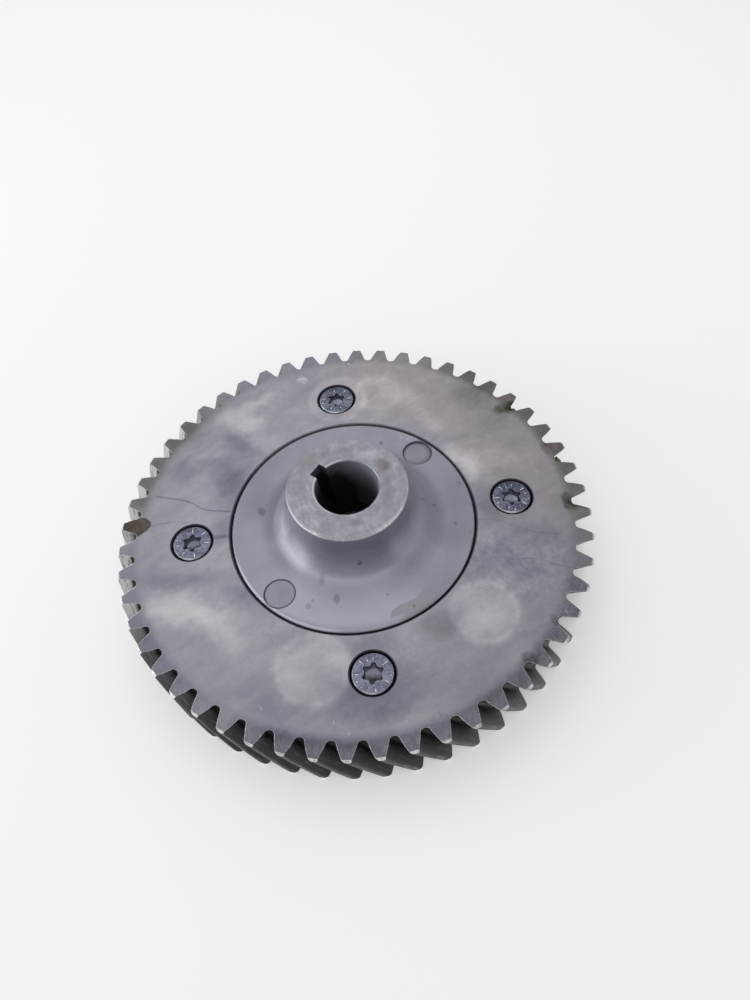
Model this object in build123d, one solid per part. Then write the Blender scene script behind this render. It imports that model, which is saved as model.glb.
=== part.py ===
from build123d import *
import os
from math import acos, atan, atan2, cos, degrees, dist, hypot, pi, radians, sin, tan

# Helical teeth
tooth_count = 52
normal_module = 3.2
helix_angle = 27.0
pressure_angle = 20.0
addendum_factor = 1.0
dedendum_factor = 1.25
root_fillet_factor = 0.5
tooth_thinning = 0.18
tooth_tip_rounding = 0.6
tooth_end_chamfer = 0.85
tooth_lag = 0.7
face_width = 24.0

# Gear ring
pilot_diameter = 100.0
pilot_edge_chamfer = 1.0
seat_edge_chamfer = 0.8

# Hub
flange_edge_distance = 12.0
flange_thickness = 12.0
flange_edge_chamfer = 1.0
disc_edge_radius = 1.4
boss_diameter = 47.5
boss_height = 23.5
boss_foot_radius = 15.0
boss_rim_radius = 1.3
taper_mouth_diameter = 25.0
taper_length = 25.0
taper_ratio = 5.0
taper_edge_chamfer = 0.4
nut_recess_diameter = 38.0
nut_recess_chamfer = 1.0
keyway_width = 6.0
keyway_depth = 3.0
keyway_direction = 138.3
nick_radius = 1.0
nick_direction = -53.0

# Countersunk screws
screw_count = 4
screw_circle_diameter = 132.0
thread_diameter = 8.0
screw_length = 20.0
screw_head_diameter = 15.8
screw_head_land = 0.8
screw_head_edge = 0.4
screw_tip_chamfer = 1.0
screw_hole_diameter = 9.0
countersink_diameter = 18.0
countersink_angle = 90.0
recess_across_lobes = 7.9
recess_across_flutes = 5.65
recess_lobe_radius = 0.6
recess_depth = 3.0
recess_point_depth = 1.0
recess_flare = 0.35
recess_flare_depth = 0.5
screw_turns = (80.0, 81.0, 90.0, 78.0)

# Dowel pins: the same pin twice, driven in opposite ways round
pin_count = 2
pin_diameter = 12.0
pin_wall = 1.2
pin_direction = 42.6
pin_setback = 0.15
pin_crown_width = 2.4
pin_crown_drop = 0.55
pin_end_chamfer = 0.25
pin_hole_chamfer = 0.3

# Clearances, on the radius or along the axis
pilot_clearance = 0.10
flange_clearance = 0.20
seat_clearance = 0.02
thread_clearance = 0.05
head_clearance = 0.03
pin_clearance = 0.01
cut_margin = 2.0

# Tooth sizes in the plane of rotation, which follow from the normal ones
helix = radians(helix_angle)
transverse_pressure = atan(tan(radians(pressure_angle)) / cos(helix))
pitch_radius = normal_module / cos(helix) * tooth_count / 2
base_radius = pitch_radius * cos(transverse_pressure)
tip_radius = pitch_radius + addendum_factor * normal_module
root_radius = pitch_radius - dedendum_factor * normal_module
flank_end_radius = tip_radius - tooth_tip_rounding
tooth_pitch = 360.0 / tooth_count
twist_per_mm = degrees(tan(helix) / pitch_radius)

# Radii and heights that several pieces share; the back face lies at height zero
pilot_radius = pilot_diameter / 2
screw_circle_radius = screw_circle_diameter / 2
flange_radius = screw_circle_radius + flange_edge_distance
seat_radius = flange_radius + flange_clearance
seat_height = flange_thickness + seat_clearance
overall_height = face_width + boss_height
mouth_radius = taper_mouth_diameter / 2
taper_slope = 1 / taper_ratio / 2
sink_slope = tan(radians(countersink_angle / 2))
pin_radius = pin_diameter / 2
pin_circle_radius = pilot_radius - pin_wall - pin_radius


def polar(radius, angle):
    """Point in the plane at this radius and angle in radians."""
    return (radius * cos(angle), radius * sin(angle))


def involute(radius):
    """Angle in radians that the involute has turned from the base circle to this radius."""
    pressure = acos(base_radius / radius)
    return tan(pressure) - pressure


def gap_angle(radius):
    """Half the angle in radians of the gap between two teeth at this radius."""
    half_gap = pi / (2 * tooth_count) + tooth_thinning / 2 / pitch_radius
    return half_gap + involute(radius) - involute(pitch_radius)


def tooth_gap():
    """Edges of one gap between teeth, centred on the X axis: flank, filleted root, flank."""
    flank_steps = 4
    step = (flank_end_radius - root_radius) / flank_steps
    radii = [root_radius + step * i for i in range(flank_steps + 1)]
    upper = [polar(radius, gap_angle(radius)) for radius in radii]
    lower = [polar(radius, -gap_angle(radius)) for radius in radii]
    with BuildSketch() as gap:
        with BuildLine():
            Spline(*upper)
            Spline(*lower)
            ThreePointArc(upper[0], (root_radius, 0), lower[0])
            Line(upper[-1], lower[-1])
        make_face()
        corners = gap.vertices().sort_by(Axis.X)[:2]
        fillet(corners, radius=root_fillet_factor * normal_module)
    open_side = gap.edges().sort_by(Axis.X)[-1]
    return [edge for edge in gap.edges() if not edge.is_same(open_side)]


def tooth_outline(turn):
    """Closed wire round all the teeth, with the middle of one tooth turned to this angle in degrees."""
    half_step = radians(tooth_pitch) / 2
    half_shoulder = half_step - gap_angle(flank_end_radius)
    half_corner = half_step - gap_angle(tip_radius)
    rounding_reach = dist(polar(flank_end_radius, half_shoulder), polar(tip_radius, half_corner))
    half_crest = half_corner - rounding_reach / tip_radius
    crest = [
        ThreePointArc(
            polar(tip_radius, -half_crest),
            polar(tip_radius, 0),
            polar(tip_radius, half_crest),
        ),
    ]
    for side in (-1, 1):
        shoulder = Vector(*polar(flank_end_radius, side * half_shoulder))
        corner = Vector(*polar(tip_radius, side * half_corner))
        crest_end = polar(tip_radius, side * half_crest)
        crest.append(TangentArc(shoulder, crest_end, tangent=corner - shoulder))
    gap_edges = tooth_gap()
    edges = []
    for i in range(tooth_count):
        tooth_place = Rot(0, 0, turn + i * tooth_pitch)
        gap_place = Rot(0, 0, turn + (i + 0.5) * tooth_pitch)
        edges += [tooth_place * edge for edge in crest]
        edges += [gap_place * edge for edge in gap_edges]
    return Wire.combine(edges)[0]


def helical_blank():
    """Prism of all the teeth with a left-hand twist, and a margin past both faces of the ring.

    At the front face the tooth over each screw lags a little clockwise of the screw's own middle.
    """
    height = face_width + 2 * cut_margin
    twist = height * twist_per_mm
    outline = tooth_outline(twist - cut_margin * twist_per_mm - tooth_lag)
    blank = Solid.extrude_linear_with_rotation(outline, (0, 0, 0), (0, 0, height), -twist)
    return Pos(0, 0, -cut_margin) * blank


def turned(points):
    """Solid of revolution about Z from the corners of its half section, as (radius, height)."""
    with BuildPart() as body:
        with BuildSketch(Plane.XZ):
            with BuildLine():
                Polyline(*points, close=True)
            make_face()
        revolve(axis=Axis.Z)
    return body.part


def gear_ring():
    """Toothed ring with the pilot bore, the seat for the hub's flange and the countersunk holes."""
    outside = tip_radius + cut_margin
    envelope = turned([
        (seat_radius + seat_edge_chamfer, 0),
        (tip_radius - tooth_end_chamfer, 0),
        (outside, tooth_end_chamfer + cut_margin),
        (outside, face_width - tooth_end_chamfer - cut_margin),
        (tip_radius - tooth_end_chamfer, face_width),
        (pilot_radius + pilot_edge_chamfer, face_width),
        (pilot_radius, face_width - pilot_edge_chamfer),
        (pilot_radius, seat_height),
        (seat_radius, seat_height),
        (seat_radius, seat_edge_chamfer),
    ])
    mouth = countersink_diameter / 2
    hole = screw_hole_diameter / 2
    screw_hole = turned([
        (0, 0),
        (hole, 0),
        (hole, face_width - (mouth - hole) / sink_slope),
        (mouth, face_width),
        (mouth, face_width + cut_margin),
        (0, face_width + cut_margin),
    ])
    with BuildPart() as ring:
        add(helical_blank())
        add(envelope, mode=Mode.INTERSECT)
        with PolarLocations(screw_circle_radius, screw_count):
            add(screw_hole, mode=Mode.SUBTRACT)
    return ring.part


def hub_section():
    """Half section of the hub: nut recess, rear flange, pilot disc, concave foot, boss and tapered bore."""
    pilot = pilot_radius - pilot_clearance
    boss = boss_diameter / 2
    recess = nut_recess_diameter / 2
    recess_height = overall_height - taper_length
    with BuildSketch() as section:
        with BuildLine():
            Polyline(
                (recess + nut_recess_chamfer, 0),
                (flange_radius - flange_edge_chamfer, 0),
                (flange_radius, flange_edge_chamfer),
                (flange_radius, flange_thickness),
                (pilot, flange_thickness),
                (pilot, face_width),
                (boss, face_width),
                (boss, overall_height),
                (mouth_radius + taper_edge_chamfer, overall_height),
                (mouth_radius - taper_edge_chamfer * taper_slope, overall_height - taper_edge_chamfer),
                (mouth_radius - taper_length * taper_slope, recess_height),
                (recess, recess_height),
                (recess, nut_recess_chamfer),
                close=True,
            )
        make_face()
        foot = section.vertices().sort_by_distance((boss, face_width))[0]
        fillet(foot, radius=boss_foot_radius)
        rim = section.vertices().sort_by_distance((boss, overall_height))[0]
        fillet(rim, radius=boss_rim_radius)
        disc_edge = section.vertices().sort_by_distance((pilot, face_width))[0]
        fillet(disc_edge, radius=disc_edge_radius)
    return section.sketch


def hub():
    """Turned hub with its keyway, the tapped screw holes in the flange and the pin holes through the disc."""
    pin_hole_radius = pin_radius + pin_clearance
    pin_hole = turned([
        (0, -cut_margin),
        (pin_hole_radius, -cut_margin),
        (pin_hole_radius, face_width - pin_hole_chamfer),
        (pin_hole_radius + pin_hole_chamfer, face_width),
        (pin_hole_radius + pin_hole_chamfer, face_width + cut_margin),
        (0, face_width + cut_margin),
    ])
    with BuildPart() as body:
        revolve(Plane.XZ * hub_section(), axis=Axis.Z)
        with Locations(Pos(0, 0, overall_height + cut_margin) * Rot(0, 0, keyway_direction)):
            Box(
                mouth_radius + keyway_depth,
                keyway_width,
                taper_length + 2 * cut_margin,
                align=(Align.MIN, Align.CENTER, Align.MAX),
                mode=Mode.SUBTRACT,
            )
        with Locations((*polar(mouth_radius, radians(nick_direction)), overall_height)):
            Sphere(nick_radius, mode=Mode.SUBTRACT)
        with PolarLocations(screw_circle_radius, screw_count):
            Cylinder(
                thread_diameter / 2 + thread_clearance,
                2 * (flange_thickness + cut_margin),
                mode=Mode.SUBTRACT,
            )
        with PolarLocations(pin_circle_radius, pin_count, start_angle=pin_direction):
            add(pin_hole, mode=Mode.SUBTRACT)
    return body.part


def star_recess(flare):
    """Outline of the six-lobe recess, opened out all round by this flare.

    It has small convex arcs at the lobes and larger concave arcs at the flutes.
    """
    lobes = 6
    half_step = pi / lobes
    lobe_reach = recess_across_lobes / 2 + flare
    lobe_radius = recess_lobe_radius + flare
    lobe_centre = lobe_reach - lobe_radius
    flute = recess_across_flutes / 2 + flare
    flute_radius = (
        lobe_centre ** 2 + flute ** 2 - 2 * lobe_centre * flute * cos(half_step) - lobe_radius ** 2
    ) / (2 * (lobe_centre * cos(half_step) + lobe_radius - flute))
    share = lobe_radius / (lobe_radius + flute_radius)
    flute_x, flute_y = polar(flute + flute_radius, half_step)
    meet_x = lobe_centre + (flute_x - lobe_centre) * share
    meet_y = flute_y * share
    meet_radius = hypot(meet_x, meet_y)
    meet_angle = atan2(meet_y, meet_x)
    with BuildSketch() as star:
        with BuildLine():
            for i in range(lobes):
                middle = 2 * half_step * i
                start = polar(meet_radius, middle - meet_angle)
                end = polar(meet_radius, middle + meet_angle)
                ThreePointArc(start, polar(lobe_reach, middle), end)
                ahead = polar(meet_radius, middle + 2 * half_step - meet_angle)
                ThreePointArc(end, polar(flute, middle + half_step), ahead)
        make_face()
    return star.sketch


def countersunk_screw(turn):
    """Countersunk screw with its head just under the ring's face, and its recess turned to this angle.

    The mouth of the recess flares out to the top of the head.
    """
    head = screw_head_diameter / 2
    shank = thread_diameter / 2
    cone_top = face_width - (countersink_diameter / 2 - head) / sink_slope + head_clearance
    top = cone_top + screw_head_land
    end = top - screw_length
    body = turned([
        (0, end),
        (shank - screw_tip_chamfer, end),
        (shank, end + screw_tip_chamfer),
        (shank, cone_top - (head - shank) / sink_slope),
        (head, cone_top),
        (head, top - screw_head_edge),
        (head - screw_head_edge, top),
        (0, top),
    ])
    with BuildPart() as screw:
        add(body)
        with BuildSketch(Plane((0, 0, top - recess_depth)) * Rot(0, 0, turn)):
            add(star_recess(0))
        extrude(amount=recess_depth + cut_margin, mode=Mode.SUBTRACT)
        for side in (-1, 1):
            with BuildSketch(Plane((0, 0, top + side * recess_flare_depth)) * Rot(0, 0, turn)):
                add(star_recess((1 + side) * recess_flare))
        loft(ruled=True, mode=Mode.SUBTRACT)
        with Locations((0, 0, top - recess_depth)):
            Cone(
                0,
                recess_across_flutes / 2,
                recess_point_depth,
                align=(Align.CENTER, Align.CENTER, Align.MAX),
                mode=Mode.SUBTRACT,
            )
    return screw.part


def dowel_pin(crown_forward):
    """Plain pin in its hole, with its crowned end towards the front face or towards the back."""
    front = face_width - pin_setback
    back = pin_setback
    crown_start = (pin_radius - pin_crown_width, front)
    crown_end = (pin_radius, front - pin_crown_drop)
    with BuildPart() as pin:
        with BuildSketch(Plane.XZ):
            with BuildLine():
                TangentArc(crown_start, crown_end, tangent=(1, 0))
                Polyline(
                    crown_end,
                    (pin_radius, back + pin_end_chamfer),
                    (pin_radius - pin_end_chamfer, back),
                    (0, back),
                    (0, front),
                    crown_start,
                )
            make_face()
        revolve(axis=Axis.Z)
    if crown_forward:
        return pin.part
    return Pos(0, 0, face_width) * Rot(180, 0, 0) * pin.part


def assembly():
    """Every piece in its place, by name."""
    pieces = {"gear_ring": gear_ring(), "hub": hub()}
    for i in range(screw_count):
        angle = 2 * pi * i / screw_count
        place = Pos(*polar(screw_circle_radius, angle), 0)
        pieces[f"countersunk_screw_{i + 1}"] = place * countersunk_screw(screw_turns[i % len(screw_turns)])
    for i in range(pin_count):
        angle = radians(pin_direction) + 2 * pi * i / pin_count
        place = Pos(*polar(pin_circle_radius, angle), 0)
        pieces[f"dowel_pin_{i + 1}"] = place * dowel_pin(crown_forward=i % 2 == 0)
    return pieces


os.makedirs("parts", exist_ok=True)
for name, piece in assembly().items():
    piece.label = name
    export_step(piece, f"parts/{name}.step")
    print(name, round(piece.volume, 1))
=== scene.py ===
import math

import bmesh
import bpy
from mathutils import Matrix, Vector, noise


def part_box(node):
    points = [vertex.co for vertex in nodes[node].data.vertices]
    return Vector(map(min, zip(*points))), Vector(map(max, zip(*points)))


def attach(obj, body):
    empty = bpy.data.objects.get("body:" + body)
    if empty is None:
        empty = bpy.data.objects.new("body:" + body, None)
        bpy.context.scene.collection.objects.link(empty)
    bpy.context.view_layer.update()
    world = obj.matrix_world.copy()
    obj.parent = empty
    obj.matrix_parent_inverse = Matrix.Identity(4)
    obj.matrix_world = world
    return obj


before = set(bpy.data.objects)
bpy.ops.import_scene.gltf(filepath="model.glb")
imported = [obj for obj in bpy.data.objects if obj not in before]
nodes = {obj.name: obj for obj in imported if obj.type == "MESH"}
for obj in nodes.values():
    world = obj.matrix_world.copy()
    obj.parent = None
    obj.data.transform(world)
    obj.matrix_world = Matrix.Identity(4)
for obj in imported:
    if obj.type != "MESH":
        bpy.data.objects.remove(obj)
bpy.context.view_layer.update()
perMetre = 1000  # the frame is in metres, and places in the materials are in millimetres
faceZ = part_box("gear_ring")[1][2] * perMetre  # front face of the ring
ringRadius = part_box("gear_ring")[1][0] * perMetre
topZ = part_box("hub")[1][2] * perMetre  # top of the boss
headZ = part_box("countersunk_screw_1")[1][2] * perMetre
screwPlaces = [(66, 0), (0, 66), (-66, 0), (0, -66)]
print("frame loaded:", len(nodes), "pieces")


# linear colour from a hex code
def chip(code):
    parts = [int(code[i:i + 2], 16) / 255 for i in (0, 2, 4)]
    return tuple(p / 12.92 if p < 0.04 else ((p + 0.055) / 1.055) ** 2.4 for p in parts) + (1.0,)


# a number that varies over a surface; arithmetic on it adds Math nodes
class Value:
    def __init__(self, tree, socket):
        self.tree = tree
        self.socket = socket

    def __add__(self, other):
        return self.tree.sums("ADD", self, other)

    def __sub__(self, other):
        return self.tree.sums("SUBTRACT", self, other)

    def __rsub__(self, other):
        return self.tree.sums("SUBTRACT", other, self)

    def __mul__(self, other):
        return self.tree.sums("MULTIPLY", self, other)

    def __truediv__(self, other):
        return self.tree.sums("DIVIDE", self, other)

    def __abs__(self):
        return self.tree.sums("ABSOLUTE", self)

    __radd__ = __add__
    __rmul__ = __mul__


# the nodes of a material or of the world
class NodeTree:
    def __init__(self, tree):
        self.tree = tree
        self.tree.nodes.clear()

    def add(self, kind, settings=None, sockets=None):
        node = self.tree.nodes.new(kind)
        for key, value in (settings or {}).items():
            if key == "stops":
                while len(node.color_ramp.elements) < len(value):
                    node.color_ramp.elements.new(1.0)
                for element, (position, colour) in zip(node.color_ramp.elements, value):
                    element.position = position
                    element.color = colour
            elif key == "points":
                curve = node.mapping.curves[0]
                for position, height in value[1:-1]:
                    curve.points.new(position, height)
                curve.points[0].location = value[0]
                curve.points[-1].location = value[-1]
                node.mapping.update()
            else:
                setattr(node, key, value)
        for key, value in (sockets or {}).items():
            if isinstance(key, int):
                socket = node.inputs[key]
            else:
                socket = next(s for s in node.inputs if s.enabled and s.name == key)
            if isinstance(value, Value):
                value = value.socket
            if isinstance(value, bpy.types.NodeSocket):
                self.tree.links.new(value, socket)
            else:
                socket.default_value = value
        return node

    def read(self, kind, settings=None, sockets=None, output=0):
        return Value(self, self.add(kind, settings, sockets).outputs[output])

    def sums(self, operation, *terms):
        return self.read("ShaderNodeMath", {"operation": operation}, dict(enumerate(terms)))

    def ramp(self, value, low, high):  # 0 at low, 1 at high, smooth between
        return self.read("ShaderNodeMapRange", {"interpolation_type": "SMOOTHSTEP"}, {
            "Value": value, "From Min": low, "From Max": high})

    def band(self, value, low, high, soft):  # 1 between low and high
        return self.ramp(value, low - soft, low) * (1 - self.ramp(value, high, high + soft))

    def mix(self, first, second, share):
        node = self.add("ShaderNodeMix", {"data_type": "RGBA", "clamp_factor": True}, {
            "Factor": share, "A": first, "B": second})
        return next(s for s in node.outputs if s.enabled)

    def seen(self):  # 1 for what the camera, a reflection or glass shows
        rays = self.add("ShaderNodeLightPath").outputs
        straight = self.sums("MAXIMUM", rays["Is Camera Ray"], rays["Is Glossy Ray"])
        return self.sums("MAXIMUM", straight, rays["Is Transmission Ray"])


# one material; every place in it is in millimetres from the middle that it is given
class Paint(NodeTree):
    def __init__(self, name, middle=(0, 0, 0)):
        self.material = bpy.data.materials.new(name)
        self.material.use_nodes = True
        super().__init__(self.material.node_tree)
        objectPlace = self.add("ShaderNodeTexCoord").outputs["Object"]
        self.place = self.add("ShaderNodeMapping", {}, {
            "Vector": objectPlace, "Location": [-c for c in middle],
            "Scale": (perMetre, perMetre, perMetre)}).outputs[0]
        split = self.add("ShaderNodeSeparateXYZ", {}, {"Vector": self.place})
        self.x, self.y, self.z = [Value(self, out) for out in split.outputs]
        flat = self.add("ShaderNodeVectorMath", {"operation": "MULTIPLY"}, {0: self.place, 1: (1, 1, 0)})
        self.radius = self.read("ShaderNodeVectorMath", {"operation": "LENGTH"}, {0: flat.outputs[0]}, 1)
        self.angle = self.sums("ARCTAN2", self.y, self.x)
        facing = self.add("ShaderNodeNewGeometry").outputs["True Normal"]
        self.up = Value(self, self.add("ShaderNodeSeparateXYZ", {}, {"Vector": facing}).outputs[2])

    def across(self, x, y, bearing):  # how far a place lies from x, y on a bearing in degrees
        turn = math.radians(bearing)
        return (self.x - x) * math.cos(turn) + (self.y - y) * math.sin(turn)

    def toward(self, bearing, half, soft):  # 1 in a sector round a bearing, in degrees
        turn = math.radians(bearing)
        share = (self.x * math.cos(turn) + self.y * math.sin(turn)) / (self.radius + 0.001)
        return self.ramp(share, math.cos(math.radians(half + soft)), math.cos(math.radians(half)))

    def sectors(self, rows):  # rows of bearing, half, soft, strength
        total = 0
        for bearing, half, soft, strength in rows:
            total = self.toward(bearing, half, soft) * strength + total
        return total

    def rings(self, rows):  # rows of low and high radius, soft edge, sector or None, strength
        total = 0
        for low, high, soft, sector, strength in rows:
            ring = self.band(self.radius, low, high, soft) * strength
            if sector:
                ring = ring * self.toward(*sector)
            total = ring + total
        return total

    def noise(self, size, detail=3.0, rough=0.5, vector=None):  # about 0.3 to 0.7
        return self.read("ShaderNodeTexNoise", {}, {
            "Vector": vector or self.place, "Scale": 1 / size, "Detail": detail, "Roughness": rough})

    def stretched(self, scale, turn=0.0, vector=None):
        return self.add("ShaderNodeMapping", {"vector_type": "TEXTURE"}, {
            "Vector": vector or self.place, "Rotation": (0, 0, math.radians(turn)),
            "Scale": scale}).outputs[0]

    def wavy(self, size, reach, vector=None):  # a place, pushed about by noise
        push = self.add("ShaderNodeTexNoise", {}, {
            "Vector": self.place, "Scale": 1 / size, "Detail": 3.0})
        centred = self.add("ShaderNodeVectorMath", {"operation": "SUBTRACT"}, {
            0: push.outputs["Color"], 1: (0.5, 0.5, 0.5)})
        return self.add("ShaderNodeVectorMath", {"operation": "MULTIPLY_ADD"}, {
            0: centred.outputs[0], 1: (reach, reach, 0), 2: vector or self.place}).outputs[0]

    def spot(self, x, y, wide, deep, turn=0.0, vector=None):  # 1 in the middle, 0 at its edge
        local = self.add("ShaderNodeMapping", {"vector_type": "TEXTURE"}, {
            "Vector": vector or self.place, "Location": (x, y, 0),
            "Rotation": (0, 0, math.radians(turn)), "Scale": (wide, deep, 10000)}).outputs[0]
        return self.read("ShaderNodeTexGradient", {"gradient_type": "SPHERICAL"}, {"Vector": local}, 1)

    def spots(self, rows, vector=None, core=0.9):  # rows of x, y, wide, deep, turn, strength
        total = 0
        for x, y, wide, deep, turn, strength in rows:
            total = self.ramp(self.spot(x, y, wide, deep, turn, vector), 0, core) * strength + total
        return total

    def line(self, points):  # the height of a smooth line through points whose x rises
        first, last = points[0][0], points[-1][0]
        low = min(y for x, y in points)
        span = max(y for x, y in points) - low + 0.01
        share = self.read("ShaderNodeMapRange", {}, {"Value": self.x, "From Min": first, "From Max": last})
        stops = [((x - first) / (last - first), (y - low) / span) for x, y in points]
        return self.read("ShaderNodeFloatCurve", {"points": stops}, {"Value": share}) * span + low

    def trail(self, points, width):  # a thin streak along a line
        away = abs(self.y - self.line(points))
        return (1 - self.ramp(away, 0, width)) * self.band(self.x, points[0][0], points[-1][0], 1.5)

    def edges(self, reach):  # 1 along sharp edges
        rounded = self.add("ShaderNodeBevel", {"samples": 6}, {"Radius": reach})
        flat = self.add("ShaderNodeNewGeometry").outputs["Normal"]
        same = self.read("ShaderNodeVectorMath", {"operation": "DOT_PRODUCT"}, {
            0: rounded.outputs[0], 1: flat}, 1)
        return self.ramp(1 - same, 0.01, 0.12)

    def tint(self, tone, stops):  # colour for a tone between 0 and 1
        return self.add("ShaderNodeValToRGB", {"stops": [(at, chip(code)) for at, code in stops]}, {
            "Fac": tone}).outputs[0]

    def bump(self, height, distance):
        return self.add("ShaderNodeBump", {}, {
            "Height": height, "Distance": distance, "Strength": 1.0}).outputs[0]

    def finish(self, fixed, varying):
        shader = self.add("ShaderNodeBsdfPrincipled", {}, {**fixed, **varying})
        self.add("ShaderNodeOutputMaterial", {}, {"Surface": shader.outputs[0]})
        return self.material


def dress(name, material):
    for slot in nodes[name].material_slots:
        slot.material = material


# camera, as the photograph was taken
cameraSet = {
    "place": (0.005501, -0.161766, 0.276514),
    "turn": (33.694, 3.839, -7.382),
    "frameHeight": 24.0,
    "focal": 17.5945,
    "nearest": 0.01,
    "farthest": 50.0,
}
camera = bpy.data.objects.new("photoCamera", bpy.data.cameras.new("photoCamera"))
bpy.context.scene.collection.objects.link(camera)
camera.location = cameraSet["place"]
camera.rotation_euler = [math.radians(a) for a in cameraSet["turn"]]
camera.data.sensor_fit = "VERTICAL"
camera.data.sensor_height = cameraSet["frameHeight"]
camera.data.lens = cameraSet["focal"]
camera.data.clip_start = cameraSet["nearest"]
camera.data.clip_end = cameraSet["farthest"]
bpy.context.scene.camera = camera
bpy.context.scene.view_settings.view_transform = "Standard"

# soft window light from the left, a high soft light behind and a weak one at the right
lampSets = [
    {"name": "leftWindow", "place": (-0.85, 0.06, 0.16), "size": (0.7, 0.30), "power": 2.2},
    {"name": "topPanel", "place": (-0.10, 0.45, 0.75), "size": (0.8, 0.6), "power": 1.2},
    {"name": "rightFill", "place": (0.80, -0.30, 0.30), "size": (0.4, 0.3), "power": 0.3},
]
lampAim = Vector((0, 0, 0.03))
for lampSet in lampSets:
    data = bpy.data.lights.new(lampSet["name"], "AREA")
    data.shape = "RECTANGLE"
    data.size, data.size_y = lampSet["size"]
    data.energy = lampSet["power"]
    lamp = bpy.data.objects.new(lampSet["name"], data)
    bpy.context.scene.collection.objects.link(lamp)
    lamp.location = lampSet["place"]
    lamp.rotation_euler = (lampAim - lamp.location).to_track_quat("-Z", "Y").to_euler()

# a pale room: how strongly it shows and lights, and the floor, which doesn't glow under the gear
roomSet = {
    "shows": 1.0,
    "lights": 0.5,
    "floorSize": 4.0,
    "floorColour": chip("ececec"),
    "floorRough": 0.9,
    "floorGlow": (0.42, 0.42, 0.42, 1),
    "noGlow": (0, 0, 0, 1),
    "glowFrom": (70.0, 98.0),
}
world = bpy.data.worlds.new("paleRoom")
bpy.context.scene.world = world
world.use_nodes = True
sky = NodeTree(world.node_tree)
skyStrength = sky.read("ShaderNodeMapRange", {}, {
    "Value": sky.seen(), "To Min": roomSet["lights"], "To Max": roomSet["shows"]})
background = sky.add("ShaderNodeBackground", {}, {"Strength": skyStrength})
sky.add("ShaderNodeOutputWorld", {}, {"Surface": background.outputs[0]})

sheet = bmesh.new()
bmesh.ops.create_grid(sheet, x_segments=1, y_segments=1, size=roomSet["floorSize"])
floorMesh = bpy.data.meshes.new("paleFloor")
sheet.to_mesh(floorMesh)
sheet.free()
floor = bpy.data.objects.new("paleFloor", floorMesh)
bpy.context.scene.collection.objects.link(floor)
floorPaint = Paint("floorPaint")
beside = floorPaint.ramp(floorPaint.radius, *roomSet["glowFrom"])
glow = floorPaint.mix(roomSet["noGlow"], roomSet["floorGlow"], floorPaint.seen() * beside)
floorFixed = {
    "Base Color": roomSet["floorColour"], "Roughness": roomSet["floorRough"], "Specular IOR Level": 0.0,
    "Emission Strength": 1.0}
floor.data.materials.append(floorPaint.finish(floorFixed, {"Emission Color": glow}))
print("camera, lamps and floor set")


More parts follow.
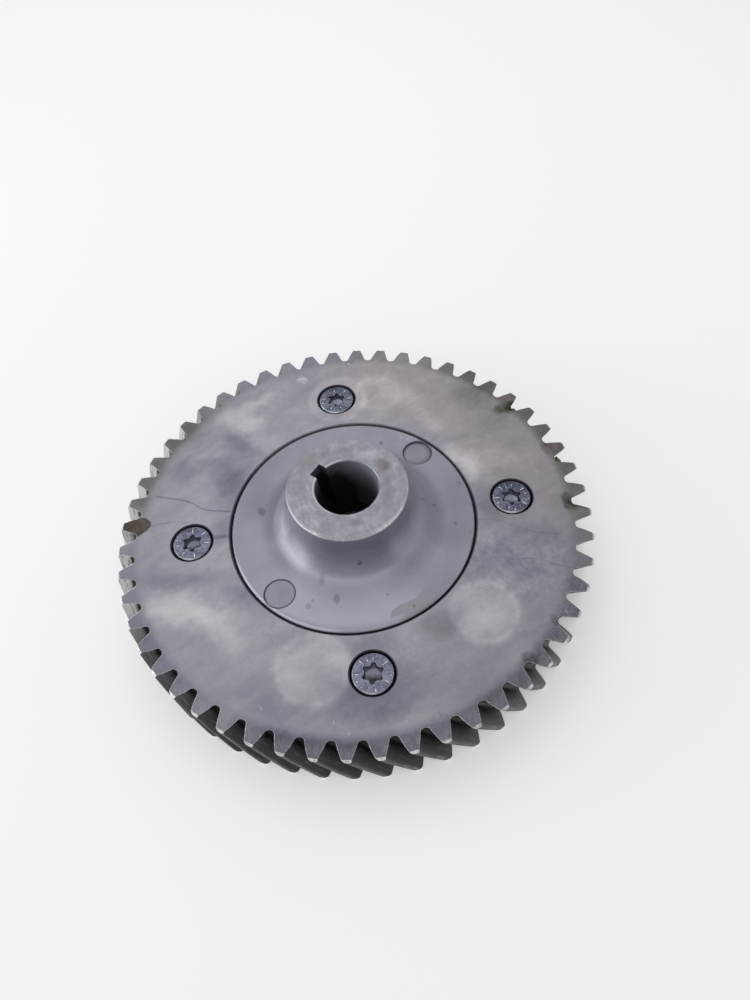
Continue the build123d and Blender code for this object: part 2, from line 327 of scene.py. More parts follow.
# the toothed ring: ground faces with wiped oil, ghost marks and worn tooth ends
ringSet = {
    "level": 0.475,
    "metal": 0.9,
    "faceRough": 0.40,
    "faceTones": [(0.0, "52525d"), (0.25, "72737e"), (0.5, "8c8a92"), (0.75, "a9a6ab"), (1.0, "c5c0c4")],
    "warmTones": [(0.0, "565254"), (0.25, "777376"), (0.5, "918b8e"), (0.75, "ada7aa"), (1.0, "c6c0c2")],
    "brownOil": chip("4b423a"),
    "dustySteel": chip("6e6f73"),
    "oilSmear": chip("6e665a"),
    # painted shade: black for the tooth roots and the gap round the hub
    "shadeBlack": chip("121214"),
    # flanks and tip lands: dark for painted shade below, pale for a painted highlight on the left
    "flankSteel": chip("403f43"),
    "flankPale": chip("c4c3c4"),
    "flankMark": chip("46464a"),
    "tipLand": chip("4c4c50"),
    "tipLandPale": chip("b4b2ae"),
    "rootSmear": chip("302d29"),
    # bright edges and chamfers: partly wear, partly painted highlight
    "edgeGlintAndWear": chip("dcdadb"),
    "chamferGlintAndWear": chip("dcdbdd"),
    # painted shade on the walls of the countersinks
    "sinkEdge": chip("5e5d74"),
    # radii in mm: of a countersink, and where each zone starts and is full
    "sinkRadius": 9.0,
    "sinksEnd": (77.0, 78.0),
    "pilotGap": (50.25, 51.0),
    "pilotEdge": (51.4, 51.8),
    "warmFrom": (50.0, 62.0),
    "toothEnds": (86.0, 91.0),
    "frostFrom": (89.0, 94.5),
    "sootFrom": (86.0, 92.0),
    "flanksFrom": (90.4, 92.4),
    "glintAndWearFrom": (88.0, 91.0),
    "chamfersFrom": (93.5, 95.0),
    # sectors: bearing, half angle and soft edge in degrees
    "warmSide": (38, 36, 22),
    # the side where flanks, tip lands and tooth edges get a painted highlight
    "leftSide": (167, 25, 14),
    # the side where edges get more wear and painted highlight
    "glintAndWearSide": (-115, 95, 30),
    "frostSide": (-92, 42, 18),
    "dustySide": (-42, 22, 12),
    "sootSide": (-37, 9, 8),
    # where the painted shade of the gap round the hub is thinner, and where it is lighter
    "thinGapSide": (60, 42, 20),
    "gapSide": (75, 62, 16),
    # the same with a strength
    "darkEnd": 0.14,
    "darkEnds": [
        (28, 16, 22, 0.24), (-82, 28, 18, 0.26), (150, 10, 14, 0.28), (210, 8, 14, 0.12), (75, 12, 20, 0.05)],
    # painted highlight on the flanks
    "palerFlanks": [(167, 25, 14, 0.9), (205, 12, 12, 0.09), (124, 12, 12, 0.20)],
    # sectors where chamfers get more wear and painted highlight
    "chamferGlintAndWearSides": [(-115, 95, 30, 0.24), (258, 20, 14, 0.28)],
    # oil on the tooth ends: sector, the radii where it starts and is full, strength
    "oilyEnds": [((148, 20, 8), 83.0, 88.0, 0.35), ((12, 30, 15), 85.0, 90.0, 0.25)],
    # paler and darker patches, mostly painted reflection: x, y, wide, deep, turn, how much paler or darker
    "patches": [
        (-68, -31, 26, 10, -12, 0.24), (-55, -41, 18, 10, -38, 0.14), (-82, -27, 12, 7, -30, 0.06),
        (-62, -35, 26, 12, -28, 0.08), (-46, -52, 14, 10, -30, 0.03), (-22, -62, 14, 12, 0, 0.02),
        (49, 23, 14, 7, -62, 0.28), (53, 14, 8, 8, 0, 0.14), (66, 20, 24, 10, 0, 0.10),
        (20, 74, 14, 6, -4, 0.14), (30, 62, 18, 10, -40, 0.14), (40, 46, 14, 7, -52, 0.14),
        (13, 60, 8, 6, 0, 0.06), (-44, 61, 18, 9, -40, 0.22), (-33, 45, 12, 8, -35, 0.08),
        (-60, 42, 10, 6, 30, 0.08), (-66, 40, 9, 4, 46, 0.10), (-16, 80, 3, 2.2, 0, 0.28),
        (-26, 78, 14, 5, 12, 0.06), (-54, 68, 18, 8, 48, 0.02), (-36, 70, 14, 6, 20, 0.20),
        (44, -52, 13, 11, 0, 0.12), (56, -34, 10, 7, 30, 0.06), (10, -53, 9, 5, 0, 0.04),
        (-10, -61, 8, 10, 0, 0.10), (-44, 46, 16, 7, -42, -0.24), (-70, -17, 26, 7, -6, -0.22),
        (-44, -29, 14, 7, -30, -0.20), (-49, 27, 14, 22, 12, -0.29), (-54, 4, 8, 12, 0, -0.13),
        (-70, 37, 14, 11, 35, -0.22), (-64, 60, 16, 8, 45, -0.14), (72, -20, 18, 9, -15, -0.12),
        (56, -2, 11, 18, 0, -0.18), (48, -28, 19, 14, -35, -0.11), (63, -34, 12, 8, -30, -0.16),
        (68, 40, 14, 12, 30, -0.06), (60, 57, 16, 12, -45, -0.20), (1, -72, 34, 14, 0, -0.30),
        (-38, -69, 16, 9, -32, -0.12), (28, -51, 13, 9, 30, -0.18), (80, -40, 12, 12, -60, -0.08),
        (84, 4, 9, 26, 0, -0.02), (0, 56, 18, 6, 0, -0.14), (0, -81, 16, 7, 0, -0.14),
        (0, -55, 16, 7, 0, -0.20), (-28, -49, 10, 8, -30, -0.08), (0, 80, 16, 7, 0, -0.02),
        (-21, -61, 10, 8, 0, -0.06), (-59, 41, 7, 5, 0, -0.16), (57, -24, 7, 6, 0, -0.14)],
    "brownPatches": [
        (27, -54, 7, 5, 0, 0.40), (22, -51, 4, 4, 0, 0.25), (74, 46, 9, 5, 40, 0.35), (66, 8, 5, 4, 0, 0.15)],
    "smears": [
        (74.6, 47.0, 8.4, 4.0, 12, 0.75), (77.8, 47.0, 4.0, 3.4, 20, 0.5), (88.0, -6.6, 3.8, 6.0, 8, 0.85),
        (91.8, -8.8, 5.0, 1.8, -22, 0.5), (56.5, -70.0, 3.2, 4.6, 38, 0.7), (70.0, -57.0, 2.2, 5.0, 40, 0.4),
        (86.0, 22.0, 3.0, 4.5, 10, 0.45), (72.5, -56.0, 2.6, 2.2, 0, 0.35), (8, 87.5, 2.0, 2.0, 0, 0.3)],
    "nicks": [
        (-40.8, -72.7, 0.5, 1.6, 20, 0.3), (-15.7, -81.6, 0.5, 1.4, -5, 0.3),
        (-10.8, -86.3, 0.5, 1.0, 0, 0.25), (8, 87, 1.0, 1.0, 0, 0.6),
        (74, -54, 0.6, 1.6, 30, 0.5), (70.5, -57, 0.7, 1.0, 0, 0.5)],
    "mottledSpot": (62, -30, 30, 20, -20),
    "oilyTooth": (-90.0, 11.2, 7.1, 4.6, 6),
    # round marks: x, y, radius, strength, the bearing of the side that shows best
    "ghosts": [
        (-21.2, -61.0, 14.8, 0.19, -140), (44.2, -48.5, 13.8, 0.18, -30), (0.5, 66, 14.2, 0.14, 0),
        (19, 66, 11.0, 0.07, 40), (63.5, 13, 2.4, -0.09, 90)],
    # streaks: points, width, how much darker
    "trails": [
        ([(-81, 25.5), (-77, 24), (-72, 22.4), (-67, 20), (-60, 15), (-55, 13.6), (-50.5, 12.6)], 0.7, 0.30),
        ([(-85, 9.6), (-80, 11.2), (-75, 11.4), (-70, 10.3), (-66, 9.6)], 0.5, 0.16),
        ([(-57, 0.9), (-50.5, 0.5)], 1.6, 0.22),
        ([(51, -9), (57, -10), (62, -13), (70, -17.5), (80, -21)], 0.6, 0.09),
        ([(58, -29), (68, -30), (78, -35), (84, -37)], 0.5, 0.12)],
}


# a round mark left by something that stood on the face: a broken rim and a filled middle
def ghostTone(p, x, y, size, strength, bearing):
    inside = 1 - p.spot(x, y, size * 1.3, size * 1.3, 0, p.wavy(10.0, 1.8))
    broken = p.ramp(p.noise(7.0, 3.0), 0.38, 0.58) * p.ramp(p.across(x, y, bearing) / size, -0.9, 0.5)
    edge = p.band(inside, 0.69, 0.76, 0.12) * broken
    return (edge * 0.55 + (1 - p.ramp(inside, 0.66, 0.80)) * 0.8) * strength


# the ground face: clouds, wiping marks, patches of painted reflection, painted shade towards the right, round
# marks and a mottled patch
def faceTone(p, front, cloud, fine, swirl):
    s = ringSet
    wipe = p.noise(1.0, 4.0, 0.55, p.stretched((15, 4.5, 4.5), 28.0, swirl))
    tone = (cloud - 0.5) * 0.46 + (wipe - 0.5) * 0.27 + (fine - 0.5) * 0.25 + s["level"]
    # painted reflection: paler and darker patches on the face
    tone = p.spots(s["patches"], p.wavy(3.0, 4.5, swirl)) * front + tone
    # painted shade: the face darker towards the right
    tone = tone - p.ramp(p.x, 20.0, 85.0) * 0.07
    for ghost in s["ghosts"]:
        tone = ghostTone(p, *ghost) * front + tone
    outline = 1 - p.ramp(abs(p.noise(17.0, 4.0, 0.5) - 0.5), 0.0, 0.010)
    tone = tone - outline * p.ramp(p.noise(28.0, 2.0), 0.48, 0.60) * 0.07 * front
    mottled = p.ramp(p.spot(*s["mottledSpot"]), 0.0, 0.5)
    return (p.noise(2.6, 4.0, 0.7, p.wavy(5.0, 4.0)) - 0.5) * mottled * 0.55 + tone


# tooth ends are darker, most at the right and along the bottom, and pitted, nicked and frosted
def endTone(p, front, toothEnd, frost):
    s = ringSet
    pits = p.ramp(p.noise(0.8, 3.0, 0.6), 0.60, 0.72)
    frosting = p.ramp(p.noise(0.9, 4.0, 0.65, p.stretched((1, 3, 1))), 0.40, 0.66) * frost
    dark = toothEnd * (p.sectors(s["darkEnds"]) + s["darkEnd"])
    return pits * toothEnd * 0.12 + p.spots(s["nicks"]) * front + frosting * 0.24 - dark


# brown oil on the face and the tooth ends, from 0 to 1
def oilShare(p, front):
    oil = p.spots(ringSet["brownPatches"], p.wavy(6.0, 3.0)) * front
    for sector, start, full, strength in ringSet["oilyEnds"]:
        oil = oil + p.toward(*sector) * p.ramp(p.radius, start, full) * strength
    return oil


# the oily tooth at the left, grit, and smears and soot on the front half of the teeth
def dirtyColour(p, colour, fine, tooth, rim, upper):
    s = ringSet
    colour = p.mix(colour, s["brownOil"], tooth * (0.94 + (fine - 0.5) * 0.7))
    darkSide = tooth * p.ramp(p.x * -1, 89.0, 96.0)
    colour = p.mix(colour, s["rootSmear"], rim * 0.5 + darkSide * 0.45)
    grit = p.ramp(p.noise(1.2, 2.0, 0.5), 0.71, 0.76) * p.ramp(p.noise(18.0, 2.0), 0.5, 0.62)
    colour = p.mix(colour, s["brownOil"], grit * 0.5)
    smear = p.spots(s["smears"], p.wavy(3.0, 2.5), 0.5) * (0.8 + (fine - 0.5) * 1.4) * upper
    sootGrain = p.ramp(p.noise(0.9, 3.0, 0.6), 0.46, 0.60)
    soot = p.toward(*s["sootSide"]) * p.ramp(p.radius, *s["sootFrom"]) * sootGrain * upper
    return p.mix(colour, s["rootSmear"], smear + soot * 0.35)


# flanks and tips: paler on the left as a painted highlight, dark below as painted shade, with drag marks down
# the teeth and roots painted black as shade
def flankColour(p, fine, leftSide, tooth):
    s = ringSet
    around = p.add("ShaderNodeCombineXYZ", {}, {0: p.angle * 28.0, 1: p.radius, 2: p.z * 0.05})
    drag = p.noise(0.8, 3.0, 0.6, around.outputs[0])
    flank = p.mix(s["flankSteel"], s["flankPale"], p.sectors(s["palerFlanks"]) + (drag - 0.5) * 0.4)
    flank = p.mix(flank, s["flankMark"], p.ramp(drag, 0.50, 0.66) * leftSide * 0.75)
    # painted shade: the roots go black
    flank = p.mix(s["shadeBlack"], flank, p.ramp(p.radius + (fine - 0.5) * 2.5, *s["flanksFrom"]))
    land = p.mix(s["tipLand"], s["tipLandPale"], leftSide + (drag - 0.5) * 1.2)
    flank = p.mix(flank, land, p.ramp(p.radius, ringRadius - 0.45, ringRadius - 0.25))
    return p.mix(flank, s["brownOil"], tooth * 0.25)


# painted shade in the gap round the hub, and on the edges of the countersinks
def gapColour(p, colour, front, wall):
    s = ringSet
    thinGap = p.toward(*s["thinGapSide"])
    start, end = s["pilotGap"]
    gap = (1 - p.ramp(p.radius - thinGap * 0.12, start, end - thinGap * 0.35)) * front
    colour = p.mix(colour, s["shadeBlack"], gap * (0.92 - p.toward(*s["gapSide"]) * 0.12))
    holes = [(x, y, s["sinkRadius"], s["sinkRadius"], 0, 1.0) for x, y in screwPlaces]
    sunk = 1 - p.spots(holes, None, 0.075)
    inner = 1 - p.ramp(p.radius, *s["sinksEnd"])
    return p.mix(colour, s["sinkEdge"], sunk * inner * wall * 0.7)


# bright chamfers and edges of the teeth: partly wear, partly painted highlight
def glintAndWearColour(p, colour, chamfer, leftSide, front):
    s = ringSet
    chips = p.ramp(p.noise(1.2, 3.0, 0.6), 0.38, 0.60)
    colour = p.mix(colour, s["chamferGlintAndWear"], chamfer * (0.15 + chips * 0.45 + p.sectors(s["chamferGlintAndWearSides"])))
    rim = p.edges(0.0005) * p.ramp(p.radius, *s["glintAndWearFrom"]) * front
    glintAndWear = p.toward(*s["glintAndWearSide"]) * 0.55 + leftSide * 0.5 + 0.15
    return p.mix(colour, s["edgeGlintAndWear"], rim * glintAndWear * (0.3 + chips * 0.7))


def ringPaint():
    p = Paint("groundGearSteel")
    s = ringSet
    level = abs(p.up)
    face = p.ramp(level, 0.9, 0.97)
    front = p.ramp(p.z, faceZ - 4.0, faceZ - 0.5)
    upper = p.ramp(p.z, faceZ - 12.0, faceZ - 4.0)
    leftSide = p.toward(*s["leftSide"])
    swirl = p.wavy(13.0, 11.0)
    cloud = p.noise(24.0, 5.0, 0.55, swirl)
    fine = p.noise(3.2, 4.0, 0.62, p.wavy(9.0, 5.0))
    toothEnd = p.ramp(p.radius + (fine - 0.5) * 5, *s["toothEnds"])
    frost = p.ramp(p.radius, *s["frostFrom"]) * p.toward(*s["frostSide"])
    tone = faceTone(p, front, cloud, fine, swirl) + endTone(p, front, toothEnd, frost)
    for points, width, strength in s["trails"]:
        tone = tone - p.trail(points, width) * strength * front
    warm = p.toward(*s["warmSide"]) * p.ramp(p.radius, *s["warmFrom"])
    colour = p.mix(p.tint(tone, s["faceTones"]), p.tint(tone, s["warmTones"]), warm * 0.8)
    dust = toothEnd * p.toward(*s["dustySide"]) * p.ramp(fine, 0.40, 0.62)
    colour = p.mix(colour, s["dustySteel"], frost * 0.35 + dust * 0.5)
    oil = oilShare(p, front)
    colour = p.mix(colour, s["oilSmear"], oil)
    oily = p.spot(*s["oilyTooth"], p.wavy(6.0, 2.0))
    tooth = p.ramp(oily, 0.0, 0.16) * upper
    colour = dirtyColour(p, colour, fine, tooth, p.band(oily, 0.06, 0.14, 0.05) * upper, upper)
    pilotEdge = (1 - p.ramp(p.radius, *s["pilotEdge"])) * front
    colour = p.mix(flankColour(p, fine, leftSide, tooth), colour, face + pilotEdge)
    colour = gapColour(p, colour, front, 1 - face - pilotEdge)
    chamfer = p.band(level, 0.62, 0.80, 0.05) * p.ramp(p.radius, *s["chamfersFrom"])
    colour = glintAndWearColour(p, colour, chamfer, leftSide, front)
    rough = s["faceRough"] + (cloud - 0.5) * 0.25 + (fine - 0.5) * 0.15 - oil * 0.08
    rough = rough + (1 - face) * 0.06 - chamfer * 0.08
    scratches = p.noise(0.9, 2.0, 0.5, p.stretched((14, 1, 1), 20.0))
    height = scratches * 0.5 + p.noise(0.35, 2.0, 0.5) * 0.3
    return p.finish({"Metallic": s["metal"]}, {
        "Base Color": colour, "Roughness": rough, "Normal": p.bump(height, 0.00001)})


dress("gear_ring", ringPaint())
print("toothed ring dressed")


# the hub: matt turned steel, its boss faced bright on top
hubSet = {
    "discTones": [(0.0, "4d4c59"), (0.5, "868591"), (1.0, "bbbac8")],
    "topTones": [(0.0, "57545b"), (0.5, "898790"), (1.0, "c2c0c7")],
    "discLevel": 0.54,
    "topLevel": 0.50,
    "metal": 0.9,
    "boreMetal": 0.35,
    "rough": 0.48,
    "patchStain": chip("86858a"),
    "greenStain": chip("85856f"),
    "topBrown": chip("6d635b"),
    "redPaint": chip("6c3c30"),
    # bore colours: painted shade deep in the bore and the nut recess, a painted highlight near the mouth
    "bore": chip("25262c"),
    "boreMouth": chip("bcbecf"),
    "topEdge": chip("e4e1e6"),
    "lipEdge": chip("dad8dc"),
    # radii in mm
    "boreRadius": 12.6,
    "keywayRadius": 16.0,
    "recessRadius": 19.3,
    "topEdgeFrom": (22.2, 23.2),
    "footRadii": (23.8, 27.6),
    "stripEnds": (46.4, 47.6),
    "discEdge": (48.9, 49.6),
    "discSeam": (49.65, 49.85),
    "pinSeamReach": 7.0,
    # sectors: bearing, half angle and soft edge in degrees
    "lowEdge": (-75, 70, 30),
    "lipSide": (165, 60, 25),
    "boreShine": (4, 42, 75),
    # the same with a strength
    # painted light and shade on the boss wall, a painted highlight on the edge of the disc, painted glints on
    # the edge of the boss
    "wallTone": 0.32,
    "wallSectors": [(266, 22, 22, -0.12), (226, 10, 16, 0.08)],
    "edgeTone": 0.14,
    "edgeSectors": [(226, 20, 16, 0.40)],
    "edgeGlints": [(-50, 11, 16, 1.0), (234, 3, 5, 0.8)],
    # bands of painted highlight and shade on the foot of the boss and the disc: low and high radius, soft
    # edge, sector or None, strength
    "bands": [
        (25.2, 28.2, 1.6, (266, 22, 22), -0.17), (27.0, 29.5, 2.6, None, 0.04),
        (27.0, 29.5, 2.6, (234, 18, 30), 0.10), (27.0, 29.5, 2.6, (203, 7, 10), -0.09),
        (25.2, 28.0, 1.2, (179, 8, 10), 0.20), (25.2, 28.0, 1.2, (2, 20, 20), 0.07),
        (29.2, 31.2, 1.4, (208, 12, 12), 0.12), (27.8, 31.5, 1.5, (152, 18, 18), 0.24),
        (30.0, 46.0, 4.0, (258, 24, 32), 0.20), (32.0, 35.5, 4.0, None, -0.09),
        (32.0, 35.5, 4.0, (265, 70, 25), 0.09)],
    # patches of painted shade and light on the disc: x, y, wide, deep, turn, how much paler or darker
    "discPatches": [
        (44, 2, 12, 22, 0, -0.10), (40, -15, 10, 10, 0, -0.11), (32, -11, 8, 9, 0, -0.08),
        (-38, 16, 12, 14, 0, -0.13), (-34, 33, 16, 10, 45, -0.08), (30, -36, 20, 10, 40, -0.04),
        (6, -40, 26, 10, 0, 0.05), (-40, -8, 10, 22, 0, 0.03)],
    "specks": [
        (-37, 10, 2.0, 3.0, 20, -0.22), (-14.6, -26.8, 1.6, 2.8, -20, -0.14), (-10, -35, 1.7, 2.8, 0, -0.18),
        (-21, -36, 1.6, 1.6, 0, -0.16), (-19, -34, 0.9, 0.9, 0, -0.16), (0.9, -25.4, 1.5, 0.6, 0, -0.35),
        (17, 37, 1.2, 1.3, 0, -0.25), (34, 0.5, 1.0, 1.0, 0, -0.25), (41, -9, 0.9, 1.1, 0, -0.2),
        (30, 3, 0.7, 0.7, 0, -0.2), (9.5, -36, 0.7, 0.7, 0, -0.2), (46, 10, 1.1, 2.0, 20, -0.14),
        (3, 38, 0.9, 1.1, 0, -0.12), (46, -14, 0.6, 0.6, 0, -0.15),
        (26, 38.4, 1.4, 0.5, -30, 0.2), (28.6, 37.2, 1.0, 0.5, 20, 0.2), (30.4, 38.0, 0.6, 0.9, 0, 0.15)],
    "topStains": [
        (15.5, 8, 3.6, 4.4, 25, -0.28), (9, 15, 9, 4, -30, 0.10), (15.5, -3, 3.5, 7, 0, -0.14),
        (-13, 14, 9, 5, 45, -0.14), (-13, -13, 8, 5, -45, 0.08),
        (14, -11, 3, 4, 30, -0.12), (3, 17.5, 12, 2.6, 0, -0.10), (-7, 16.5, 5, 2.4, 35, -0.10),
        (-18, 2, 3, 6, 10, -0.08), (-13, -11, 4, 4, 0, -0.10), (1, -16.5, 7, 2.5, 0, -0.10),
        (-19, -6, 3, 5, 0, 0.08), (6, -19, 7, 2.5, 10, 0.06)],
    "brownSpots": [
        (14.5, 9.0, 5, 5, 25, 0.55), (16, 2, 4, 8, 10, 0.35), (15, -8, 4, 8, 15, 0.25),
        (6, 18, 9, 3, 0, 0.15)],
    "greenSpots": [(-13.5, 15.5, 4.5, 3, 40, 0.45)],
    "redDot": (18.8, -42.3, 0.75, 0.9),
    "pins": [(31.6, 29.0), (-31.6, -29.0)],
    # upper edge of the stained strip, and where it thins out
    "strip": [
        (9.2, -45.4), (10.4, -42.9), (12.6, -41.5), (19.2, -39.4), (22.3, -37.3), (26, -35.2), (31, -34.0)],
    "stripThins": 24.6,
}


# the boss wall, its foot and the disc, with painted highlight and shade on all three, painted shade in the
# seams round the pins, and a painted highlight and painted shade at the edge of the disc
def hubTone(p, front, cloud, fine):
    s = hubSet
    tone = (cloud - 0.5) * 0.30 + (fine - 0.5) * 0.12 + s["discLevel"]
    # painted shade and light in patches on the disc
    tone = tone + p.spots(s["discPatches"], p.wavy(12.0, 6.0)) * front
    tone = tone + p.spots(s["specks"], p.wavy(1.5, 1.4), 0.5) * front
    wall = 1 - p.ramp(p.radius, *s["footRadii"])
    # painted light and shade on the boss wall and in bands on its foot and the disc
    shade = wall * (p.sectors(s["wallSectors"]) + s["wallTone"]) + p.rings(s["bands"])
    reach = s["pinSeamReach"]
    # painted shade in the seams round the pins
    for x, y in s["pins"]:
        shade = shade - p.band(p.spot(x, y, reach, reach), 0.088, 0.145, 0.012) * 0.6
    tone = tone + shade * front * 0.8
    # painted highlight on the edge of the disc and painted shade in the seam beyond it
    edge = p.band(p.radius, *s["discEdge"], 0.5) * (p.sectors(s["edgeSectors"]) + s["edgeTone"])
    seam = p.ramp(p.radius, *s["discSeam"]) * 0.6
    return tone + (edge - seam) * p.ramp(p.z, faceZ - 4.0, faceZ - 3.0)


# a stained strip along the edge of the disc at the lower right, 1 where it lies
def stripShare(p, front, fine):
    s = hubSet
    first, thins = s["strip"][0][0], s["stripThins"]
    below = 1 - p.ramp(p.y - p.line(s["strip"]) + (fine - 0.5) * 1.2, -0.3, 0.2)
    strip = below * p.band(p.x, first + 0.6, thins - 0.6, 0.6) * front
    strip = strip + below * p.band(p.x, thins, thins, 5.5) * p.ramp(p.x, thins - 0.6, thins) * front
    return strip * (1 - p.ramp(p.radius, *s["stripEnds"]) * (1 - p.ramp(p.x, 12.5, 16.0)))


# the faced top of the boss, with turning rings and brown and green stains
def topColour(p, cloud, fine, lathe, turned):
    s = hubSet
    tone = p.spots(s["topStains"], p.wavy(3.0, 2.5)) + s["topLevel"]
    tone = tone + (cloud - 0.5) * 0.6 + (fine - 0.5) * 0.25 + (lathe - 0.5) * 0.1
    tone = tone + (p.noise(4.0, 4.0, 0.6) - 0.5) * 0.5
    tone = tone + (p.noise(0.8, 3.0, 0.6, p.stretched((1, 10, 10), 8.0)) - 0.5) * 0.25
    turns = p.ramp(p.noise(0.7, 2.0, 0.5, turned), 0.40, 0.62) * p.ramp(cloud, 0.42, 0.58)
    colour = p.tint(tone - turns * 0.06, s["topTones"])
    brown = p.spots(s["brownSpots"], p.wavy(4.0, 6.0)) * (0.6 + (p.noise(1.6, 3.0, 0.6) - 0.5) * 2.4)
    colour = p.mix(colour, s["topBrown"], brown)
    return p.mix(colour, s["greenStain"], p.spots(s["greenSpots"], p.wavy(3.0, 3.0)))


# glints on the outer edge of the boss and on the lip of the bore
def topGlints(p, colour, top):
    s = hubSet
    edge = p.ramp(p.radius, *s["topEdgeFrom"]) * p.ramp(p.z, topZ - 1.8, topZ - 0.9)
    specks = p.ramp(p.noise(0.9, 3.0, 0.6), 0.50, 0.64)
    low = p.toward(*s["lowEdge"])
    glint = p.sectors(s["edgeGlints"]) * (0.25 + specks * 0.4)
    colour = p.mix(colour, s["topEdge"], edge * (0.17 + low * 0.06 + specks * low * 0.22 + glint))
    lip = p.band(p.radius, s["boreRadius"], s["boreRadius"] + 0.5, 0.3) * p.toward(*s["lipSide"]) * top
    return p.mix(colour, s["lipEdge"], lip * 0.45)


# 1 in the bore and its keyway, between the top and the rear
def boreShare(p):
    bore = hubSet["boreRadius"]
    inside = 1 - p.ramp(p.radius, bore - 0.15, bore)
    keyway = p.band(p.radius, bore, hubSet["keywayRadius"], 0.1) * (1 - p.ramp(p.up, 0.2, 0.6))
    inside = inside + keyway * (1 - inside)
    return inside * (1 - p.ramp(p.z, topZ - 0.5, topZ - 0.1)) * p.ramp(p.z, 0.5, 2.0)


def hubPaint():
    p = Paint("turnedHubSteel")
    s = hubSet
    cloud = p.noise(16.0, 4.0, 0.55, p.wavy(14.0, 8.0))
    fine = p.noise(1.8, 4.0, 0.65)
    top = p.ramp(p.z, topZ - 1.3, topZ - 0.6) * p.ramp(p.up, 0.5, 0.9)
    front = p.ramp(p.z, faceZ - 1.0, faceZ - 0.2)
    # turning lines: noise along the radius only
    turned = p.add("ShaderNodeCombineXYZ", {}, {0: p.radius, 1: p.angle * 0.4}).outputs[0]
    lathe = p.noise(0.35, 3.0, 0.7, turned)
    colour = p.tint(hubTone(p, front, cloud, fine), s["discTones"])
    colour = p.mix(colour, s["patchStain"], stripShare(p, front, fine) * 0.75)
    colour = p.mix(colour, s["redPaint"], p.ramp(p.spot(*s["redDot"]), 0.0, 0.8) * 0.6 * front)
    colour = p.mix(colour, topColour(p, cloud, fine, lathe, turned), top)
    colour = topGlints(p, colour, top)
    inside = boreShare(p)
    # painted shade deeper in the bore and away from its right side, and a painted highlight near the mouth on
    # the right
    deep = 1 - p.ramp(p.z, topZ - 17.0, topZ)
    shadedSide = 1 - p.toward(*s["boreShine"])
    boreColour = p.mix(s["boreMouth"], s["bore"], deep * 0.8 + shadedSide * 0.75 + (fine - 0.5) * 0.25)
    colour = p.mix(colour, boreColour, inside)
    # painted shade: the nut recess darkens towards its seat
    recess = p.band(p.radius, s["boreRadius"], s["recessRadius"], 0.1) * p.band(p.z, 2.0, topZ - 24.6, 6.0)
    recess = recess * (1 - p.ramp(p.up, 0.3, 0.7))
    colour = p.mix(colour, s["bore"], recess * 0.85)
    metal = s["metal"] - inside * (s["metal"] - s["boreMetal"]) - recess * 0.4
    rough = s["rough"] + (cloud - 0.5) * 0.15 - top * 0.06 + (fine - 0.5) * 0.1
    height = lathe * 0.6 + fine * 0.4
    return p.finish({}, {
        "Base Color": colour, "Metallic": metal, "Roughness": rough, "Normal": p.bump(height, 0.00001)})


dress("hub", hubPaint())
print("hub dressed")


# the four countersunk screws: blued steel, plain radial ticks on the heads
screwSet = {
    "steel": chip("3d3f4c"),
    "bright": chip("888b9e"),
    # the bright colour of ticks and head edges: partly wear, partly painted highlight
    "rubAndGlint": chip("d8dbe4"),
    # the recess floor painted lit and in shade, and the dark of painted shade on recess walls and beside the
    # ticks
    "floor": chip("9699aa"),
    "floorShade": chip("3a3d49"),
    "dark": chip("14161c"),
    "levels": [0.04, 0.10, 0.22, 0.33],  # how bright each screw is
    "metal": 1.0,
    "floorMetal": 0.5,
    "rough": 0.30,
    "ticks": 15,
    "tickRadii": (5.0, 6.9),
    "shineRadii": (7.5, 7.85),
    "shineSide": (225, 40, 35),
    "starRadius": 4.0,
}


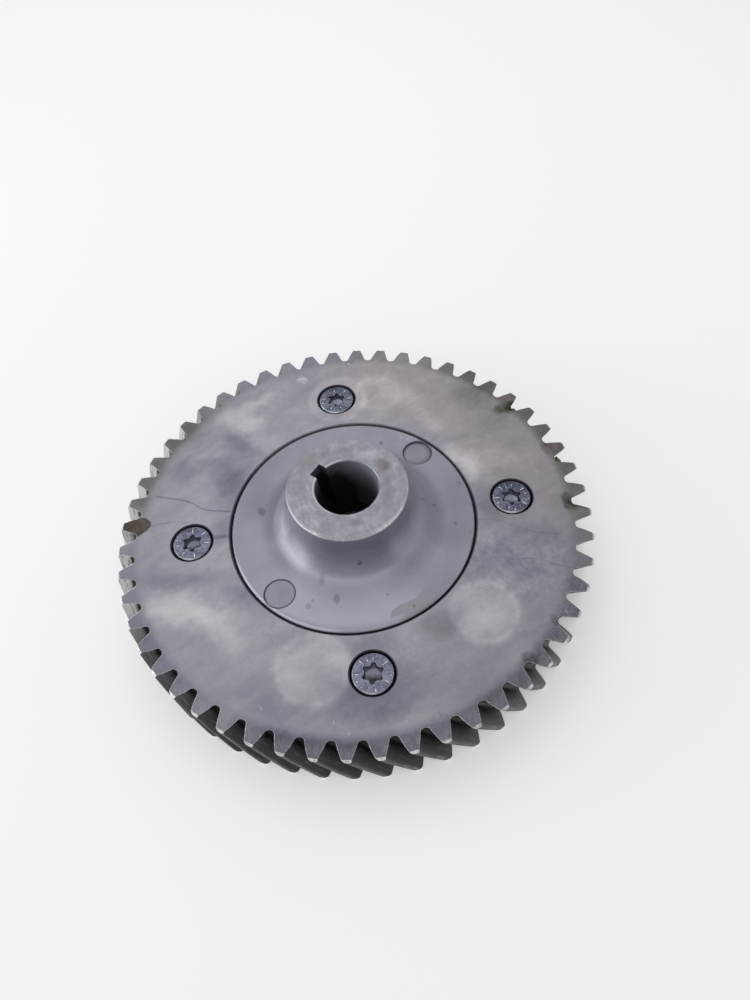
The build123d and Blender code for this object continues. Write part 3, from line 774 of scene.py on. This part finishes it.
def screwPaint(index, place):
    p = Paint("bluedScrewSteel%d" % index, (*place, 0))
    s = screwSet
    fine = p.noise(0.7, 3.0, 0.6)
    cloud = p.noise(4.0, 3.0, 0.5, p.wavy(3.0, 2.0))
    head = p.ramp(p.up, 0.8, 0.95) * p.ramp(p.z, headZ - 1.0, headZ - 0.4)
    blue = (cloud - 0.42) * 1.45 + (fine - 0.5) * 1.05 + s["levels"][index]
    colour = p.mix(s["steel"], s["bright"], blue)
    # each tick is a bright line, partly wear and partly painted highlight, with a dark one beside it in
    # painted shade
    turn = p.sums("FRACT", p.angle * (s["ticks"] / (2 * math.pi)) + 0.25 + index * 0.3)
    broken = p.ramp(p.noise(2.3, 3.0, 0.6), 0.46, 0.56)
    ticked = p.band(p.radius, *s["tickRadii"], 0.2) * head * broken
    tick = (1 - p.ramp(abs(turn - 0.5), 0.05, 0.13)) * ticked
    shade = (1 - p.ramp(abs(turn - 0.32), 0.05, 0.13)) * ticked
    colour = p.mix(colour, s["rubAndGlint"], tick * 0.75)
    colour = p.mix(colour, s["dark"], shade * 0.45)
    # painted highlight along the sharp edges of the head
    edge = p.edges(0.0003) * p.ramp(p.z, headZ - 1.2, headZ - 0.6) * p.ramp(fine, 0.35, 0.6)
    colour = p.mix(colour, s["rubAndGlint"], edge * 0.6)
    shine = p.band(p.radius, *s["shineRadii"], 0.2) * p.toward(*s["shineSide"])
    shine = shine * p.ramp(p.z, headZ - 0.9, headZ - 0.3) * (0.35 + p.ramp(cloud, 0.40, 0.60) * 0.4)
    colour = p.mix(colour, s["rubAndGlint"], shine)
    # the star recess: a floor painted lit, with painted shade towards its lower side, under walls in painted
    # shade
    star = 1 - p.ramp(p.radius, s["starRadius"], s["starRadius"] + 0.2)
    floor = (1 - p.ramp(p.z, headZ - 1.4, headZ - 0.8)) * star
    floorColour = p.mix(s["floor"], s["floorShade"], p.ramp(p.y * -1, -1.6, 1.6) + (cloud - 0.5))
    colour = p.mix(colour, floorColour, floor)
    wall = (1 - p.ramp(abs(p.up), 0.2, 0.5)) * (1 - floor)
    colour = p.mix(colour, s["dark"], wall * 0.75)
    metal = s["metal"] - floor * (s["metal"] - s["floorMetal"])
    rough = s["rough"] + (cloud - 0.5) * 0.25
    return p.finish({}, {
        "Base Color": colour, "Metallic": metal, "Roughness": rough,
        "Normal": p.bump(tick + fine * 0.15, 0.0002)})


for index, place in enumerate(screwPlaces):
    dress("countersunk_screw_%d" % (index + 1), screwPaint(index, place))
print("screws dressed")


# the two dowel pins, their ends ground with the disc
pinSets = [
    {"node": "dowel_pin_1", "steel": chip("7f7f88"), "dark": chip("75757f"), "rough": 0.46},
    {"node": "dowel_pin_2", "steel": chip("8a8a95"), "dark": chip("7b7b87"), "rough": 0.50},
]
pinEdge = chip("a4a4aa")
pinMetal = 0.9


def pinPaint(s):
    p = Paint("dowelSteel" + s["node"][-1])
    cloud = p.noise(5.0, 4.0, 0.6)
    scratches = p.noise(0.5, 2.0, 0.5, p.stretched((10, 1, 1), -35.0))
    colour = p.mix(s["steel"], s["dark"], (cloud - 0.4) * 1.2 + (scratches - 0.5) * 0.6)
    colour = p.mix(colour, pinEdge, p.edges(0.0004) * 0.25)
    return p.finish({"Metallic": pinMetal}, {
        "Base Color": colour, "Roughness": s["rough"] + (cloud - 0.5) * 0.15,
        "Normal": p.bump(scratches, 0.00001)})


for pinSet in pinSets:
    dress(pinSet["node"], pinPaint(pinSet))
print("pins dressed")


# lumps of dried grime in the gaps between teeth
grimeSet = {
    "lumps": [  # bearing in degrees, radius, height, half sizes in mm
        (9.9, 90.6, 20.4, (1.9, 2.4, 3.2)),
        (30.4, 89.9, 21.6, (1.1, 1.5, 2.0)),
    ],
    "unevenness": 0.28,
    "lumpiness": 1.4,
    "fineness": 4,
    "rough": 0.7,
    "colour": chip("5b564c"),
    "pale": chip("96917f"),
}


def grimePaint():
    p = Paint("driedGrime")
    s = grimeSet
    colour = p.mix(s["colour"], s["pale"], (p.noise(1.2, 4.0, 0.65) - 0.4) * 2.0)
    return p.finish({"Roughness": s["rough"]}, {
        "Base Color": colour, "Normal": p.bump(p.noise(0.6, 3.0, 0.6), 0.0002)})


lumpMesh = bpy.data.meshes.new("rootGrime")
heap = bmesh.new()
for bearing, away, height, halves in grimeSet["lumps"]:
    turn = Matrix.Rotation(math.radians(bearing), 4, "Z")
    seat = Matrix.Translation(Vector((away, 0, height)) / perMetre)
    size = Matrix.Diagonal((*halves, 1)) @ Matrix.Scale(1 / perMetre, 4)
    ball = bmesh.ops.create_icosphere(heap, subdivisions=grimeSet["fineness"], radius=1.0)["verts"]
    for vert in ball:
        bulge = noise.noise(vert.co * grimeSet["lumpiness"] + Vector((bearing, 0, 0)))
        vert.co *= 1 + grimeSet["unevenness"] * bulge
    bmesh.ops.transform(heap, matrix=turn @ seat @ size, verts=ball)
bmesh.ops.recalc_face_normals(heap, faces=heap.faces)
heap.to_mesh(lumpMesh)
heap.free()
lumpMesh.shade_smooth()
lumpMesh.materials.append(grimePaint())
grime = bpy.data.objects.new("rootGrime", lumpMesh)
bpy.context.scene.collection.objects.link(grime)
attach(grime, "root")
print("grime laid")
